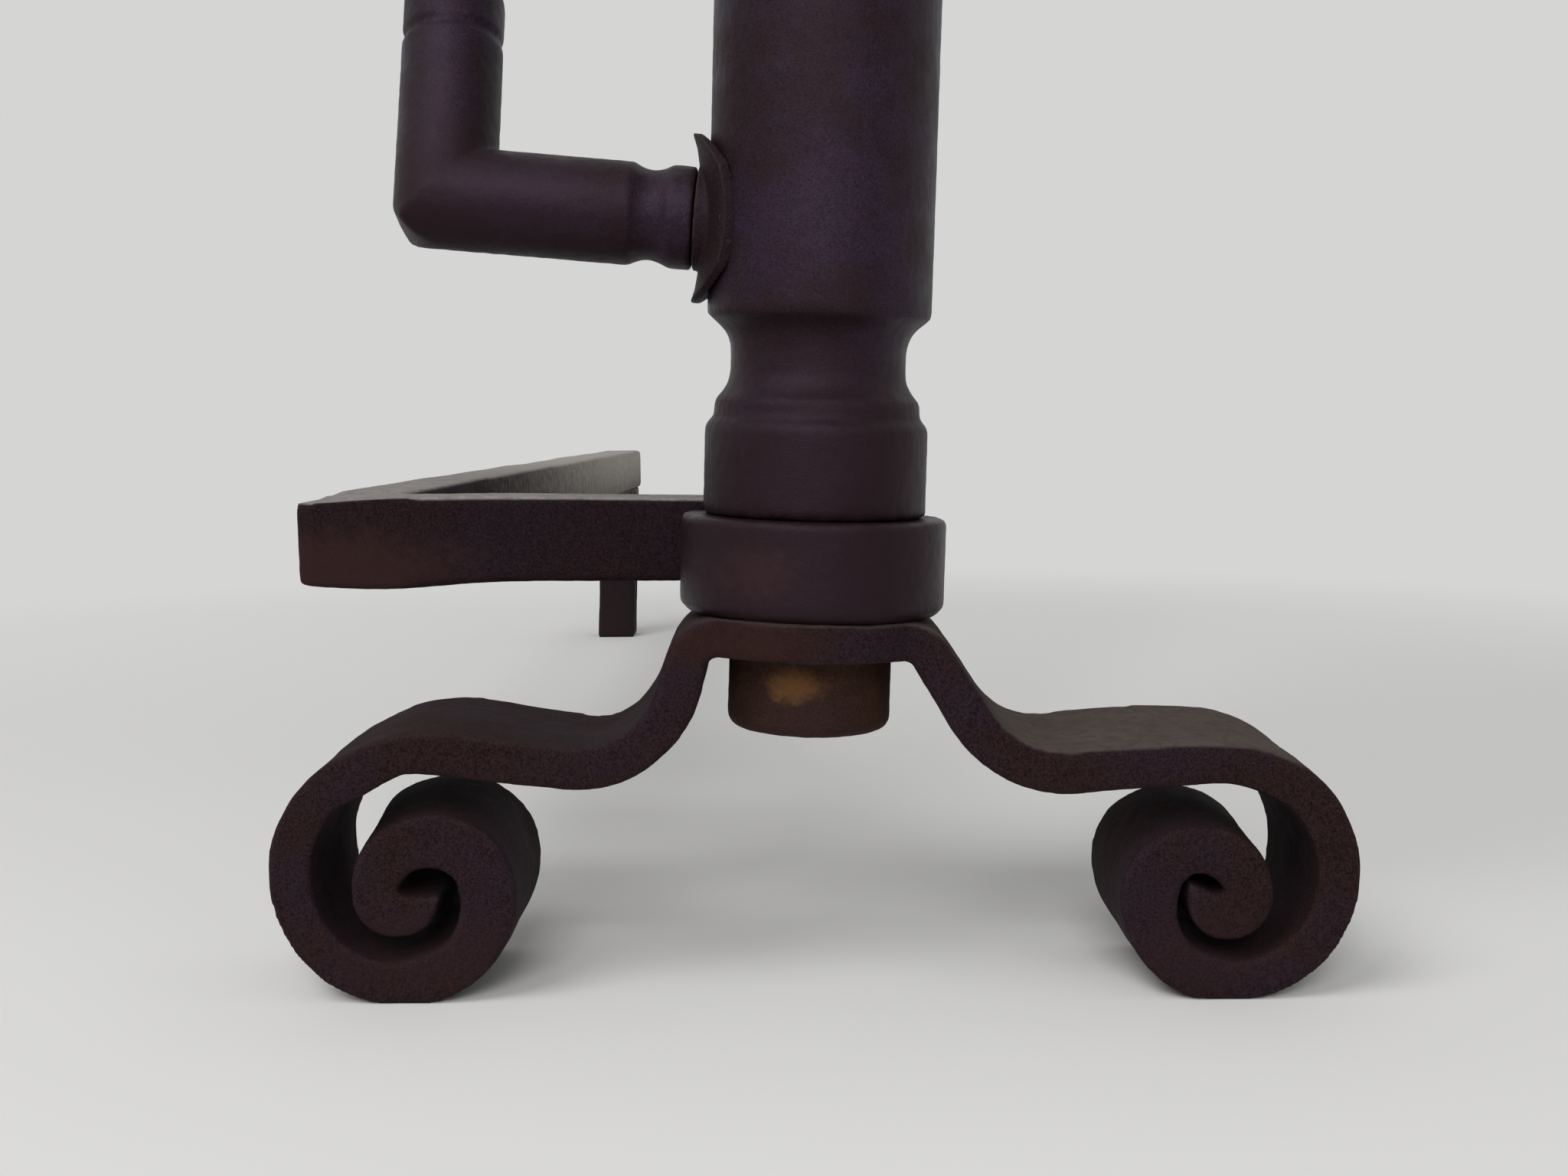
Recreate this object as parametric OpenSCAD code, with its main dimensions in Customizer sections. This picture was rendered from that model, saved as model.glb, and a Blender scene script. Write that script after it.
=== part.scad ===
// Andiron: turned post on scroll feet, with a log bar to the rear and a turning side arm.
// Millimetres, +Z up, +X to the viewer's right, +Y to the rear, where the logs lie.
// The origin lies on the floor, under the middle of the whole piece.

/* [Post] */
// Diameter of the post
post_d = 50.8; // [44:0.2:58]
// Height of the whole andiron, measured along the post
post_top = 508; // [420:1:560]
// Diameter of the neck at the bottom of its cove
neck_d = 39.8; // [34:0.2:42]
// Height of the cove from the step bead to the shaft above it
neck_h = 18.6; // [14:0.2:24]
// Diameter of the step bead beside the cove
step_d = 46.8; // [43:0.2:50]
// Height of the step bead
step_h = 5; // [2:0.2:8]
// Height of the lower band, from the collar to the step bead
band_h = 21.6; // [14:0.2:34]
// Height of the head band at the top
head_h = 24; // [14:0.5:40]
// Rise of the domed top above the head band
dome_h = 7; // [3:0.5:12]
// Diameter of the stud that carries the collar and the feet
stud_d = 25.4; // [18:0.2:28]
// How far the post and the arm lean to the right over the feet, in degrees
post_lean = 1.9; // [0:0.1:3]

/* [Collar and nut] */
// Outer diameter of the collar
collar_d = 60.6; // [56:0.2:66]
// Height of the collar
collar_h = 22; // [16:0.5:30]
// Chamfer round the collar's lower edge
collar_chamfer = 2; // [0.5:0.1:3]
// Diameter of the round nut under the feet
nut_d = 37.4; // [34:0.2:44]
// Height of the round nut
nut_h = 18.4; // [14:0.2:26]
// Rounding of the nut's lower edge
nut_round = 3.2; // [1:0.2:5]

/* [Front feet] */
// Overall width across the two scrolls
feet_w = 243; // [225:1:270]
// Width of the foot strip, front to back
strip_w = 41.6; // [34:0.2:50]
// Thickness of the foot strip
strip_t = 8.4; // [7:0.1:9.5]
// Height of the strip's flat top, on which the collar stands
strip_top = 85.9; // [80:0.5:100]
// Width of the swelled eye round the stud, front to back
eye_w = 59; // [54:0.5:62]
// Half length of the flat middle of the strip
flat_half = 20.8; // [20:0.1:24]
// Slope of the right leg below its shoulder, in degrees
slope_right = 57.4; // [52:0.2:64]
// Slope of the left leg below its shoulder, in degrees
slope_left = 75; // [64:0.2:78]
// Inner radius of the shoulder bends
shoulder_r = 2.6; // [1:0.1:5]
// Radius of the right valley on the strip's upper face, where the leg turns out to its scroll
valley_right = 21.2; // [17:0.2:26]
// Radius of the left valley on the strip's upper face
valley_left = 19.4; // [17:0.2:24]
// Rise of the strip from the right valley to the crest of its scroll, in degrees
rise_right = 2.4; // [1:0.1:6]
// Rise of the strip from the left valley to the crest of its scroll, in degrees
rise_left = 1.9; // [1:0.1:6]
// Outer radius of the right scroll's first half turn
scroll_right = 29; // [26:0.1:30.5]
// Outer radius of the left scroll's first half turn
scroll_left = 29.7; // [26:0.1:30.5]
// Depth of the flat worn on the underside of each scroll
worn_flat = 0.6; // [0.1:0.1:1]

/* [Log bar] */
// Height of the log bar
bar_h = 20.6; // [16:0.2:24]
// Thickness of the log bar
bar_w = 20.6; // [16:0.2:24]
// Height of the bar's top at its front corner
bar_top = 112.2; // [108:0.2:116]
// Reach of the bar's corner to the left of the post's axis
bar_reach = 121.9; // [100:0.5:140]
// Length from the post's axis to the rear end of the bar
bar_len = 635; // [450:1:700]
// Fall of the bar from its corner to its rear end
bar_fall = 4.8; // [0:0.2:12]
// Inner radius of the bar's corner
corner_in = 7; // [3:0.5:12]
// Outer radius of the bar's corner
corner_out = 5; // [2:0.5:8]
// Chamfer along the bar's edges
bar_chamfer = 1; // [0.4:0.1:2]
// Side of the tenon on top of the rear leg
leg_tenon = 11; // [8:0.5:13]

/* [Arm] */
// Diameter of the arm
arm_d = 23; // [19:0.2:26]
// Height at which the arm's root crosses the post's axis
arm_z = 172.4; // [165:0.2:240]
// Rise of the arm's root from level, in degrees
arm_rise = 3.3; // [0:0.1:5]
// Length from the post's axis to the elbow
arm_reach = 85.1; // [70:0.1:100]
// Length of the arm's upright from the elbow to its rounded end
arm_up = 52.5; // [46:0.5:90]
// Angle between the arm's root and its upright, in degrees
elbow_angle = 94.5; // [85:0.5:100]
// How far the upright leans back, in degrees
arm_lean = 19; // [0:1:60]
// Length of the end knob above its groove
knob_h = 14; // [10:0.5:20]
// Rounding of the knob's end
knob_round = 4.6; // [2:0.2:8]
// Depth of the V groove under the knob
groove_h = 1; // [0.4:0.1:2]
// Rounding of the elbow's outer corner
elbow_round = 10.4; // [3:0.2:11]
// Length of the cove near the arm's root
cove_w = 8.8; // [6:0.2:12]
// Depth of the cove near the arm's root
cove_h = 1.5; // [0.6:0.1:2.4]
// Length of the plain root between the cove and the washer
root_w = 5.4; // [4:0.2:14]
// Diameter of the arm's tenon in the post
tenon_d = 16; // [12:0.2:18]
// Depth of the tenon past the post's axis
tenon_past = 10; // [4:0.5:14]
// Diameter of the saddle washer
washer_d = 37.4; // [30:0.2:40]
// Thickness of the saddle washer's rim
washer_t = 2.1; // [1.5:0.1:3]
// How far the washer's upper and lower tips stand off the post
washer_spring = 1.8; // [0.2:0.1:3]
// Diameter of the cross pin that keeps the arm in the post
pin_d = 5; // [4:0.2:6]

/* [Hidden] */

run_clear = 0.05;       // running clearance of the arm's tenon, on the radius
slip_clear = 0.1;       // clearance round the stud and the leg's tenon, on each side
face_clear = 0.3;       // gap between faces of pieces that turn against each other
over = 1;               // how far a cut runs past the face that it opens
fine = 96;              // facets of the large round forms
small = 48;             // facets of the small round forms

iron = "#2b2426";       // blackened iron of the turned pieces
forged = "#2e2527";     // forged feet and bar
rusty = "#4a3226";      // browner iron of the nut

// ---- heights and places that follow from the sizes above ----
post_r = post_d / 2;
neck_r = neck_d / 2;
step_r = step_d / 2;
stud_r = stud_d / 2;
collar_r = collar_d / 2;
nut_r = nut_d / 2;
edge_r = 0.8;                               // softening of the sharp rims of post and collar
collar_z = strip_top;                       // the collar stands on the strip
band_z = collar_z + collar_h;               // the post's band stands on the collar
step_z = band_z + band_h;
cove_z = step_z + step_h;
shaft_z = cove_z + neck_h;
head_z = post_top - dome_h - head_h;        // underside of the head band
shaft_end = head_z - step_h - neck_h;       // top of the plain shaft
nut_z = strip_top - strip_t - nut_h;
nut_floor = 4.4;                            // iron left under the stud inside the closed nut
stud_end = nut_z + nut_floor;
stud_tip = 1.2;                             // chamfer of the stud's end
front_reach = max(collar_r, eye_w / 2);
post_y = -(bar_len - front_reach) / 2;      // the post's axis, so that the origin is under the middle
cove_low = 0.38;                            // share of a cove's height below its narrowest ring
low_bend = 1.4;                             // how late the cove turns out to the step bead
high_bend = 2.2;                            // how late it turns out to the shaft

// The cove, as [radius, height] points that run up from the step bead to the rim of the shaft.
function cove_curve(steps) = [
    for (i = [0 : steps])
        let (u = i / steps,
             low = u < cove_low,
             side = low ? (cove_low - u) / cove_low : (u - cove_low) / (1 - cove_low),
             rim = low ? step_r - edge_r : post_r - edge_r,
             turn = 90 * pow(side, low ? low_bend : high_bend))
        [neck_r + (rim - neck_r) * (1 - cos(turn)), u * (neck_h - edge_r)]
];

// Profile of the step bead and the cove, from the band's rim up to the shaft's full diameter.
function neck_profile() = concat(
    [[post_r, -edge_r * 2], [post_r - edge_r, -edge_r / 2], [step_r + edge_r / 2, 0]],
    [[step_r, edge_r], [step_r, step_h - edge_r]],
    [for (p = cove_curve(18)) [p[0], p[1] + step_h]],
    [[post_r, step_h + neck_h]]
);

function lift(points, dz) = [for (p = points) [p[0], p[1] + dz]];
function flip(points, z) = [for (i = [len(points) - 1 : -1 : 0]) [points[i][0], z - points[i][1]]];

// Quarter-round dome of the post's top.
function dome(steps) = [
    for (i = [0 : steps])
        let (a = 90 * i / steps)
        [post_r * cos(a), dome_h * sin(a)]
];

function post_outline() = concat(
    [[0, stud_end], [stud_r - stud_tip, stud_end], [stud_r, stud_end + stud_tip], [stud_r, band_z]],
    [[post_r - edge_r, band_z], [post_r, band_z + edge_r]],
    lift(neck_profile(), step_z),
    flip(neck_profile(), head_z),
    lift(dome(16), post_top - dome_h)
);

// ---- the arm's own frame: +X runs from the elbow back to the post along the root, +Z up the upright ----
washer_r = washer_d / 2;
tenon_r = tenon_d / 2;
arm_r = arm_d / 2;
function sprung(z) = washer_spring * pow(z / washer_r, 4);    // the washer stands off the post by this
// The arm's shoulder, off the post's axis: its upper edge clears the washer.
shoulder_x = (post_r + washer_t + sprung(arm_r) + arm_r * sin(arm_rise) + face_clear) / cos(arm_rise);
pin_r = pin_d / 2;
groove_r = tenon_r - pin_r - face_clear;        // bottom of the tenon's groove under the pin
groove_w = pin_d + 2 * face_clear;
pin_x = -6;                                     // the pin crosses the tenon this far left of the post's axis

module place() {
    translate([0, post_y, 0]) children();
}

// Puts a child that is drawn round the Z axis on the leaning axis of the post, which crosses the strip's top.
module on_post() {
    translate([0, post_y, strip_top]) rotate([0, post_lean, 0]) translate([0, 0, -strip_top]) children();
}

// Puts a child that is drawn along +X, with the post's axis at its origin, on the arm's rising root line.
module on_root() {
    translate([0, 0, arm_z]) rotate([0, arm_rise, 0]) children();
}

module post() {
    color(iron) on_post() difference() {
        rotate_extrude($fn = fine) polygon(post_outline());
        // blind bore for the arm's tenon, opening to the left
        on_root() rotate([0, -90, 0])
            translate([0, 0, -tenon_past - face_clear])
                cylinder(h = tenon_past + face_clear + post_d, r = tenon_r + run_clear, $fn = small);
        // hole for the cross pin, from the rear
        pin_line() cylinder(h = pin_depth + post_d, r = pin_r, $fn = small);
    }
}

// The pin runs level from the rear, just above the tenon's middle, through the tenon's groove.
pin_depth = tenon_r + 4;                        // how far the pin reaches in front of the post's axis
pin_proud = 0.4;                                // how far its peened end stands off the post
module pin_line() {
    on_root() translate([pin_x, -pin_depth, tenon_r]) rotate([-90, 0, 0]) children();
}

module arm_pin() {
    color(iron) on_post() intersection() {
        pin_line() cylinder(h = pin_depth + post_d, r = pin_r, $fn = small);
        cylinder(h = post_top, r = post_r + pin_proud, $fn = fine);
    }
}

module collar() {
    bore = stud_r + slip_clear;
    color(iron) on_post() translate([0, 0, collar_z]) rotate_extrude($fn = fine) polygon([
        [bore, 0],
        [collar_r - collar_chamfer, 0],
        [collar_r, collar_chamfer],
        [collar_r, collar_h - edge_r],
        [collar_r - edge_r, collar_h],
        [bore, collar_h]
    ]);
}

module base_nut() {
    color(rusty) on_post() translate([0, 0, nut_z]) difference() {
        rotate_extrude($fn = fine) intersection() {
            union() {
                translate([0, nut_round]) square([nut_r, nut_h - nut_round]);
                square([nut_r - nut_round, nut_round]);
                translate([nut_r - nut_round, nut_round]) circle(r = nut_round, $fn = small);
            }
            square([nut_r, nut_h]);
        }
        translate([0, 0, nut_floor - face_clear])
            cylinder(h = nut_h, r = stud_r + slip_clear, $fn = fine);
    }
}

// ---- the foot strip: a walk along its upper face, from the post's axis out to a scroll's end ----
// Radii of the bends are measured on the upper face, which is the outer face of a scroll.
shoulder_out = shoulder_r + strip_t;
bend_step = 6;                                  // degrees between the points of a bend
snub_gap = 0.3;                                 // least radius on the inside of the snubbed end
tongue_share = 0.24;                            // radius of the tongue at the snubbed end, as a share of the scroll's
tongue_step = 0.4;                              // length over which the iron narrows to the tongue

// Drop and reach of one half, less its two straights, from a heading at the axis.
function bend_drop(heading, slope, valley, rise, scroll) =
    shoulder_out * (cos(heading) - cos(slope)) - flat_half * sin(heading)
    + valley * (cos(rise) - cos(slope)) + scroll * (1 + cos(rise));
function bend_reach(heading, slope, valley, rise, scroll) =
    flat_half * cos(heading) + shoulder_out * (sin(slope) + sin(heading))
    + valley * (sin(rise) + sin(slope)) + scroll * (1 + sin(rise));

// The straights make up what is left to the floor and to half of feet_w: first the crest's, then the leg's.
function crest_len(slope, rise, drop, reach) = (reach * sin(slope) - drop * cos(slope)) / sin(slope + rise);
function leg_len(slope, rise, drop, crest) = (drop + crest * sin(rise)) / sin(slope);

// A step of the walk is [length, 0, thickness] for a straight or [radius, turn, thickness] for a bend,
// where a turn to the right is negative. The swell lists say how much thicker than strip_t the iron is at
// the end of a step: it is thinnest at the crest, and thickens again round the inner coil.
function strip_walk(heading, slope, valley, rise, scroll, swell, coils) =
    let (drop = strip_top + worn_flat - bend_drop(heading, slope, valley, rise, scroll),
         reach = feet_w / 2 - bend_reach(heading, slope, valley, rise, scroll),
         crest = crest_len(slope, rise, drop, reach))
    concat([
        [flat_half, 0, strip_t],
        [shoulder_out, -slope - heading, strip_t + swell[0]],
        [leg_len(slope, rise, drop, crest), 0, strip_t + swell[1]],
        [valley, slope + rise, strip_t + swell[2]],
        [crest, 0, strip_t + swell[3]],
        [scroll, -rise - crest_turn, strip_t + swell[4]],
        [scroll, crest_turn - 180, strip_t + swell[5]]
    ], coils);
crest_turn = 30;                                // the first part of a scroll, over which it thickens

// The tighter turns inside a scroll, whose radii are shares of the scroll's own. The end is a narrower tongue.
function coil_walk(scroll, shares, swell, end_turn, tongue_turn) =
    let (snub = min(strip_t + swell[2], shares[2] * scroll - snub_gap),
         tongue = tongue_share * scroll)
    [
        [shares[0] * scroll, -90, strip_t + swell[0]],
        [shares[1] * scroll, -90, strip_t + swell[1]],
        [shares[1] * scroll, -90, snub],
        [shares[2] * scroll, -end_turn, snub],
        [tongue_step, 0, tongue - snub_gap],
        [tongue, -tongue_turn, tongue - snub_gap]
    ];

// The two halves differ a little, as forged ones do. Each starts square to the leaning post.
walk_right = strip_walk(-post_lean, slope_right, valley_right, rise_right, scroll_right,
    [0.2, 0.9, 0.5, -0.2, 0.7, 0.6],
    coil_walk(scroll_right, [0.828, 0.576, 0.331], [3.4, 3.2, 1], 165, 30));
walk_left = strip_walk(post_lean, slope_left, valley_left, rise_left, scroll_left,
    [0.2, 0.6, 0.5, -0.9, 0.2, 1.2],
    coil_walk(scroll_left, [0.855, 0.613, 0.32], [3.2, 3, 0.8], 150, 30));

// A station of the walk is [x, z, heading, thickness].
function go_straight(at, len, t) = [[at[0] + len * cos(at[2]), at[1] + len * sin(at[2]), at[2], t]];
function go_round(at, r, turn, t) =
    let (side = sign(turn),
         cx = at[0] - side * r * sin(at[2]),
         cz = at[1] + side * r * cos(at[2]),
         n = ceil(abs(turn) / bend_step))
    [for (k = [1 : n])
        let (a = at[2] + turn * k / n)
        [cx + side * r * sin(a), cz - side * r * cos(a), a, at[3] + (t - at[3]) * k / n]];
function stations(at, walk, i = 0) =
    i == len(walk) ? [at] :
    let (step = walk[i],
         run = step[1] == 0 ? go_straight(at, step[0], step[2]) : go_round(at, step[0], step[1], step[2]))
    concat([at], [for (k = [0 : 1 : len(run) - 2]) run[k]], stations(run[len(run) - 1], walk, i + 1));

// Upper and lower face of one half of the strip, from the post's axis outwards.
function upper_face(heading, walk) = [for (p = stations([0, strip_top, heading, strip_t], walk)) [p[0], p[1]]];
function lower_face(heading, walk) = [
    for (p = stations([0, strip_top, heading, strip_t], walk))
        [p[0] + p[3] * sin(p[2]), p[1] - p[3] * cos(p[2])]
];
function mirrored(points) = [for (p = points) [-p[0], p[1]]];
function turned_round(points) = [for (i = [len(points) - 1 : -1 : 0]) points[i]];
function without_first(points) = [for (i = [1 : len(points) - 1]) points[i]];

// Side outline of the whole strip.
module strip_outline() {
    polygon(concat(
        upper_face(-post_lean, walk_right),
        turned_round(lower_face(-post_lean, walk_right)),
        without_first(mirrored(lower_face(post_lean, walk_left))),
        turned_round(without_first(mirrored(upper_face(post_lean, walk_left))))
    ));
}

module foot_strip() {
    color(forged) difference() {
        place() intersection() {
            translate([0, eye_w, 0]) rotate([90, 0, 0]) linear_extrude(height = 2 * eye_w) strip_outline();
            // seen from above the strip is of even width, and swells to the eye round the stud
            translate([0, 0, -over]) linear_extrude(height = strip_top + strip_t) {
                square([feet_w + over, strip_w], center = true);
                circle(r = eye_w / 2, $fn = fine);
            }
        }
        on_post() translate([0, 0, strip_top - 2 * strip_t])
            cylinder(h = 3 * strip_t, r = stud_r + slip_clear, $fn = fine);
        // the worn undersides stand on the floor
        place() translate([-feet_w, -strip_w, -2 * over]) cube([2 * feet_w, 2 * strip_w, 2 * over]);
    }
}

// ---- the log bar ----
bar_z = bar_top - bar_h;                        // underside of the bar at its corner
bar_back = collar_r;                            // the bar's rear face is tangent to the collar's rear
bar_front = bar_back - bar_w;
run_x = -bar_reach + bar_w / 2;                 // middle line of the rear run
run_len = bar_len - bar_front;
fall_angle = asin(bar_fall / run_len);
leg_drop = (run_len - bar_w / 2) * sin(fall_angle);    // how much lower the bar lies over the leg
blunt_x = 10;                                   // the bar's blunt end lies this far left of the post's axis

// Section of a bar with chamfered edges, centred.
module bar_section(wide, high) {
    w = wide / 2;
    h = high / 2;
    c = bar_chamfer;
    polygon([
        [-w, c - h], [c - w, -h], [w - c, -h], [w, c - h],
        [w, h - c], [w - c, h], [c - w, h], [-w, h - c]
    ]);
}

// The upset corner: outer edge rounded, inner edge filleted.
module corner_plan() {
    w = bar_w;
    difference() {
        union() {
            translate([corner_out, 0]) square([w + corner_in - corner_out, w]);
            translate([corner_out, corner_out]) circle(r = corner_out, $fn = small);
            translate([0, corner_out]) square([w + corner_in, w + corner_in - corner_out]);
        }
        translate([w + corner_in, w + corner_in]) circle(r = corner_in, $fn = small);
    }
}

// Puts a child that is drawn along +Y, with the bar's middle line at its origin, on the falling rear run.
module on_run() {
    translate([run_x, bar_front, bar_z + bar_h / 2]) rotate([-fall_angle, 0, 0]) children();
}

module log_bar() {
    color(forged) difference() {
        place() union() {
            // lateral run, from the corner to the collar
            translate([-bar_reach + corner_out, bar_back - bar_w / 2, bar_z + bar_h / 2])
                rotate([90, 0, 90]) linear_extrude(height = bar_reach - corner_out - blunt_x)
                    bar_section(bar_w, bar_h);
            translate([-bar_reach, bar_front, bar_z]) linear_extrude(height = bar_h) corner_plan();
            on_run() translate([0, corner_out, 0]) rotate([-90, 0, 0])
                linear_extrude(height = run_len - corner_out) bar_section(bar_w, bar_h);
        }
        // coped to the collar, and to the post's band above it
        on_post() translate([0, 0, bar_z - bar_h]) {
            cylinder(h = band_z - bar_z + bar_h, r = collar_r, $fn = fine);
            cylinder(h = 3 * bar_h, r = post_r, $fn = fine);
        }
        // mortise for the leg's tenon
        place() leg_place() tenon_block(slip_clear, over);
    }
}

module leg_place() {
    translate([run_x, bar_len - bar_w / 2, 0]) children();
}

// The leg's tenon, from inside the leg up through the bar; its end is flush with the bar's top.
module tenon_block(grow, past) {
    side = leg_tenon + 2 * grow;
    foot = bar_z - bar_h;
    translate([-side / 2, -side / 2, foot]) cube([side, side, bar_top - leg_drop - foot + past]);
}

module rear_leg() {
    color(forged) place() union() {
        difference() {
            leg_place() linear_extrude(height = bar_z) bar_section(bar_w, bar_w);
            // the leg's top is cut to the slope of the bar's underside
            on_run() translate([-bar_w, run_len - 2 * bar_w, -bar_h / 2]) cube([2 * bar_w, 3 * bar_w, bar_h]);
        }
        leg_place() tenon_block(0, 0);
    }
}

// ---- the arm ----
// Profile of the root, along the axis from the elbow's middle to the tenon's end, as [r, distance].
elbow_x = arm_reach;
soft_edge = 0.3;                                // chamfer of the shoulder and of the tenon's end
shoulder_at = elbow_x - shoulder_x;
cove_end = shoulder_at - root_w;
function cove_points(steps) = [
    for (i = [0 : steps])
        let (u = i / steps)
        [arm_r - cove_h * pow(sin(180 * u), 0.8), cove_end - cove_w + cove_w * u]
];

function root_outline() = concat(
    [[0, 0], [arm_r, 0]],
    cove_points(12),
    [[arm_r, shoulder_at - soft_edge], [arm_r - soft_edge, shoulder_at], [tenon_r, shoulder_at]],
    [[tenon_r, elbow_x + pin_x - groove_w / 2], [groove_r, elbow_x + pin_x - groove_w / 2]],
    [[groove_r, elbow_x + pin_x + groove_w / 2], [tenon_r, elbow_x + pin_x + groove_w / 2]],
    [[tenon_r, elbow_x + tenon_past - soft_edge], [tenon_r - soft_edge, elbow_x + tenon_past]],
    [[0, elbow_x + tenon_past]]
);

// Profile of the upright, from the elbow's middle to its rounded end.
groove_z = arm_up - knob_h;
function knob_end(steps) = [
    for (i = [0 : steps])
        let (a = 90 * i / steps)
        [arm_r - knob_round + knob_round * cos(a), arm_up - knob_round + knob_round * sin(a)]
];
function upright_outline() = concat(
    [[0, 0], [arm_r, 0], [arm_r, groove_z - 1.5 * groove_h], [arm_r - groove_h, groove_z]],
    [[arm_r, groove_z + 1.5 * groove_h]],
    knob_end(8),
    [[0, arm_up]]
);

// A plain length of the arm's bar through the elbow, along Z.
module elbow_rod() {
    rotate_extrude($fn = fine) translate([0, -arm_d]) square([arm_r, 2 * arm_d]);
}

// What is dressed off the elbow's outer corner to round it: a kite round the corner, less the round itself.
module corner_waste() {
    half = elbow_angle / 2;
    out = [-cos(half), -sin(half)];                 // from the elbow's middle to its outer corner
    side = [-sin(elbow_angle), cos(elbow_angle)];   // from the upright's axis to its outer side
    middle = out * (arm_r - elbow_round) / sin(half);
    wide = elbow_round + over;
    rotate([90, 0, 0]) translate([0, 0, -arm_d]) linear_extrude(height = 2 * arm_d) difference() {
        polygon([middle, middle + [0, -wide], middle + out * wide / sin(half), middle + side * wide]);
        translate(middle) circle(r = elbow_round, $fn = small);
    }
}

// The root and the upright both start at the elbow's middle. What their mitred bars share fills the corner.
module arm() {
    lean_up = [0, 90 - elbow_angle, 0];
    color(iron) on_post() on_root() translate([-elbow_x, 0, 0]) rotate([-arm_lean, 0, 0]) {
        rotate([0, 90, 0]) rotate_extrude($fn = fine) polygon(root_outline());
        rotate(lean_up) rotate_extrude($fn = fine) polygon(upright_outline());
        difference() {
            intersection() {
                rotate([0, 90, 0]) elbow_rod();
                rotate(lean_up) elbow_rod();
            }
            corner_waste();
        }
    }
}

// ---- the saddle washer: a disc bent round the post, with a flat boss on which the arm's shoulder turns ----
// A waist round the post at the arm's root, as a solid whose side stands off the post's face.
module waist(off) {
    steps = 10;
    reach = washer_r + over;
    side = [for (i = [0 : steps]) let (z = reach * (2 * i / steps - 1)) [post_r + off + sprung(z), z]];
    translate([0, 0, arm_z + post_r * tan(arm_rise)])
        rotate_extrude($fn = fine) polygon(concat([[0, -reach]], side, [[0, reach]]));
}

// A rod on the arm's root line, from the post's axis out to the left.
module root_rod(r, length) {
    on_root() rotate([0, -90, 0]) cylinder(h = length, r = r, $fn = fine);
}

module saddle_washer() {
    color(iron) on_post() difference() {
        union() {
            intersection() {
                waist(washer_t);
                root_rod(washer_r, post_d);
            }
            root_rod(arm_r, shoulder_x - face_clear);
        }
        waist(0);
        root_rod(tenon_r + face_clear, post_d);
    }
}

post();
collar();
foot_strip();
base_nut();
log_bar();
rear_leg();
arm();
saddle_washer();
arm_pin();
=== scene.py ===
# %% [markdown]
# # An andiron of blackened iron
# The solids of this fire iron are already modelled. Here each piece gets the surface that a smith, a lathe
# and years beside a fire leave on it. We load the solids, set the camera, write the finishes as shader nodes,
# rebuild the pieces as dense, slightly uneven meshes, and put them on a pale floor under soft lamps.

import math
import bmesh
import bpy
from mathutils import Matrix, Vector, noise


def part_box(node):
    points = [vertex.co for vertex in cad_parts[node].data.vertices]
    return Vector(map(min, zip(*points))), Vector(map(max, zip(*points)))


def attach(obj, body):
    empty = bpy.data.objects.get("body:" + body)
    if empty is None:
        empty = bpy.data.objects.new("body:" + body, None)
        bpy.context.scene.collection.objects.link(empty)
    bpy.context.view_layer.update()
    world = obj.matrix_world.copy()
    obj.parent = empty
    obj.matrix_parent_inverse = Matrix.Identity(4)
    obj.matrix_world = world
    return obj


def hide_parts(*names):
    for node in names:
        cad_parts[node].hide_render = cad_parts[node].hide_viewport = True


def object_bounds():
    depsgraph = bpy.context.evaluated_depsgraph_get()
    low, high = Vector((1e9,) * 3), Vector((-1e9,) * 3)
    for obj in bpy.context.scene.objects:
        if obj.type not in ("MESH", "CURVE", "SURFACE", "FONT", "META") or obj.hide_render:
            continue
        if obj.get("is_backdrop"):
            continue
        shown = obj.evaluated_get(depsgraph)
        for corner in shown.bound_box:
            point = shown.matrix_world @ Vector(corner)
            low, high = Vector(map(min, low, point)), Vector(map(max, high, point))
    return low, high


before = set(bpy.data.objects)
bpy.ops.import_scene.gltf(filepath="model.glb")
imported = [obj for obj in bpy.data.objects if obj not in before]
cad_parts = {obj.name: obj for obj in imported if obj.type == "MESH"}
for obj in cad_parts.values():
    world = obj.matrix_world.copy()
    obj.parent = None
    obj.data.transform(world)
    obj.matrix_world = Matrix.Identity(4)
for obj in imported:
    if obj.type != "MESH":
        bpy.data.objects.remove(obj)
cad_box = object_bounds()
MM = 0.001
print("solids:", ", ".join(sorted(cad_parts)))


# %% [markdown]
# The places of rust, dust and bends are worked out from the boxes of the solids. The boxes are measured once,
# because asking for them again at every vertex would be slow. The nut is round, so the middle of its box says
# how far in front of the andiron's middle the post stands.

# %% places taken from the solids
BOXES = {node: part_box(node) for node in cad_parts}


def low(node, axis):
    return BOXES[node][0][axis]


def high(node, axis):
    return BOXES[node][1][axis]


def middle(node, axis):
    return (low(node, axis) + high(node, axis)) / 2


POST_Y = middle("base_nut", 1)
FLOOR_Z = cad_box[0][2]
STRIP_X = middle("foot_strip", 0)
STRIP_FRONT = low("foot_strip", 1)
print("post stands at y = %.1f mm" % (POST_Y / MM))


# %% [markdown]
# The camera stands low in front of the andiron, 0.4 m from the post, and looks a little down, so the post
# runs out of the picture at the top. The focal length is written in pixels of a picture 2048 wide. Blender
# wants millimetres on its sensor, so one line converts it.

# %% camera
PICTURE_W = 2048
FOCAL_PX = 2313.1
PITCH, YAW, ROLL = 5.859, -0.376, -0.427        # degrees: down, to the side, and tilted
CAMERA_FROM_POST = Vector((-3.6, -405.7, 132.8)) * MM

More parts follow.
